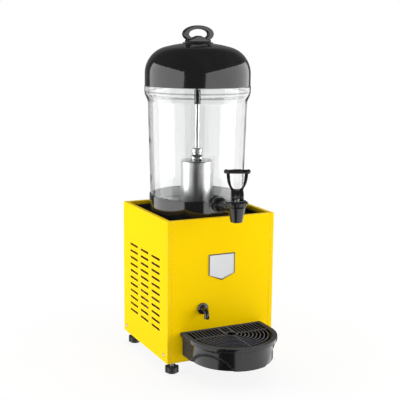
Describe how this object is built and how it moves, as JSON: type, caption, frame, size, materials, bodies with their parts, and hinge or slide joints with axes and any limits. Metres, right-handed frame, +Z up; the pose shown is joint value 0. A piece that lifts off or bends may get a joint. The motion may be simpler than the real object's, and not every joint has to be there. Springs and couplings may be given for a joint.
{
  "type": "refrigerated drink dispenser",
  "caption": "Countertop refrigerated drink dispenser: yellow cooling cabinet, clear lift-off tank with domed black lid, tap, drip tray, fountain pump and full cooling unit.",
  "frame": {"origin": "on the floor under the middle of the whole part's box", "axes": "+Z up, the tap and the drip tray face -Y, +X to the right seen from the front"},
  "size_m": [0.264, 0.4256, 0.7549],
  "materials": {
    "yellow_enamel": "glossy powder coat",
    "zinc_sheet": "bright zinc",
    "gloss_black": "high gloss moulding",
    "satin_black": "satin moulding",
    "stainless": "fine brushed",
    "badge_metal": "satin",
    "clear_tank": "clear moulded polycarbonate",
    "black_rubber": "matte",
    "grey_silicone": "matte moulding",
    "black_shell": "satin enamel",
    "finned_aluminium": "mill finish",
    "plated_motor": "grey enamel",
    "copper_tube": "drawn tube",
    "ivory_plastic": "moulded"
  },
  "bodies": {
    "cabinet": {"left_side_panel": "yellow_enamel", "right_side_panel": "yellow_enamel", "front_panel": "yellow_enamel", "back_panel": "yellow_enamel", "base_pan": "zinc_sheet", "basin_rails": "zinc_sheet", "tray_bracket": "zinc_sheet", "foot_nuts": "zinc_sheet", "panel_screws": "zinc_sheet", "basin": "gloss_black", "drain_spout": "gloss_black", "drain_nut": "gloss_black", "riser_cap": "gloss_black", "switch_housings": "satin_black", "cord_gland": "satin_black", "compressor_relay": "satin_black", "cooling_drum": "stainless", "drum_base": "stainless", "pump_bell": "stainless", "riser_tube": "stainless", "badge_plate": "badge_metal", "drain_hose": "black_rubber", "compressor_mounts": "black_rubber", "compressor": "black_shell", "condenser": "finned_aluminium", "fan_shroud": "plated_motor", "fan_motor": "plated_motor", "pump_motor": "plated_motor", "filter_drier": "copper_tube", "suction_line": "copper_tube", "discharge_line": "copper_tube", "liquid_line": "copper_tube", "thermostat": "ivory_plastic"},
    "tank": {"tank": "clear_tank", "tank_base": "gloss_black", "tank_seal": "black_rubber", "tank_gasket": "grey_silicone", "tap_body": "gloss_black", "tap_washers": "black_rubber", "tap_nut": "gloss_black", "tap_bonnet": "gloss_black"},
    "lid": {"lid": "gloss_black", "lid_handle": "gloss_black", "handle_screw": "zinc_sheet"},
    "tap_stem": {"tap_stem": "stainless", "tap_seat_cup": "black_rubber"},
    "tap_handle": {"tap_handle": "gloss_black", "tap_pin": "stainless"},
    "drip_tray": {"drip_tray": "gloss_black"},
    "drip_grille": {"drip_grille": "satin_black"},
    "fan": {"fan_blade": "satin_black"},
    "pump_rotor": {"pump_shaft": "stainless", "pump_impeller": "satin_black"},
    "foot_front_left": {"foot_front_left": "satin_black"},
    "foot_front_right": {"foot_front_right": "satin_black"},
    "foot_back_left": {"foot_back_left": "satin_black"},
    "foot_back_right": {"foot_back_right": "satin_black"},
    "cooling_switch": {"cooling_switch": "satin_black"},
    "pump_switch": {"pump_switch": "satin_black"},
    "thermostat_knob": {"thermostat_knob": "satin_black"}
  },
  "joints": [
    {"name": "tank_lift", "type": "slide", "parent": "cabinet", "child": "tank", "axis": [0, 0, 1], "range_m": [0, 0.15]},
    {"name": "lid_lift", "type": "slide", "parent": "tank", "child": "lid", "axis": [0, 0, 1], "range_m": [0, 0.1]},
    {"name": "tap_stem_lift", "type": "slide", "parent": "tank", "child": "tap_stem", "axis": [0, 0, 1], "range_m": [0, 0.004], "stiffness_N_per_m": 800, "springref_m": -0.004},
    {"name": "tap_handle_tilt", "type": "hinge", "parent": "tap_stem", "child": "tap_handle", "pos_m": [0, -0.12725, 0.4019], "axis": [0.9135, -0.4067, 0], "range_deg": [0, 35]},
    {"name": "drip_tray_lift", "type": "slide", "parent": "cabinet", "child": "drip_tray", "axis": [0, 0, 1], "range_m": [0, 0.012]},
    {"name": "drip_grille_lift", "type": "slide", "parent": "drip_tray", "child": "drip_grille", "axis": [0, 0, 1], "range_m": [0, 0.012]},
    {"name": "fan_spin", "type": "hinge", "parent": "cabinet", "child": "fan", "pos_m": [0, 0.14405, 0.1212], "axis": [0, 1, 0], "continuous": true},
    {"name": "pump_spin", "type": "hinge", "parent": "cabinet", "child": "pump_rotor", "pos_m": [0, 0.06775, 0.345], "axis": [0, 0, 1], "continuous": true},
    {"name": "cooling_switch_rock", "type": "hinge", "parent": "cabinet", "child": "cooling_switch", "pos_m": [-0.075, 0.19175, 0.29], "axis": [1, 0, 0], "range_deg": [0, 18]},
    {"name": "pump_switch_rock", "type": "hinge", "parent": "cabinet", "child": "pump_switch", "pos_m": [-0.041, 0.19175, 0.29], "axis": [1, 0, 0], "range_deg": [0, 18]},
    {"name": "thermostat_turn", "type": "hinge", "parent": "cabinet", "child": "thermostat_knob", "pos_m": [0.062, 0.19775, 0.29], "axis": [0, 1, 0], "range_deg": [0, 300]},
    {"name": "foot_front_left_screw", "type": "slide", "parent": "cabinet", "child": "foot_front_left", "axis": [0, 0, -1], "range_m": [0, 0.01]},
    {"name": "foot_back_left_screw", "type": "slide", "parent": "cabinet", "child": "foot_back_left", "axis": [0, 0, -1], "range_m": [0, 0.01]},
    {"name": "foot_front_right_screw", "type": "slide", "parent": "cabinet", "child": "foot_front_right", "axis": [0, 0, -1], "range_m": [0, 0.01]},
    {"name": "foot_back_right_screw", "type": "slide", "parent": "cabinet", "child": "foot_back_right", "axis": [0, 0, -1], "range_m": [0, 0.01]}
  ],
  "couplings": [
    {"joint": "tap_handle_tilt", "follows": "tap_stem_lift", "rad_per_m": 151.51}
  ]
}
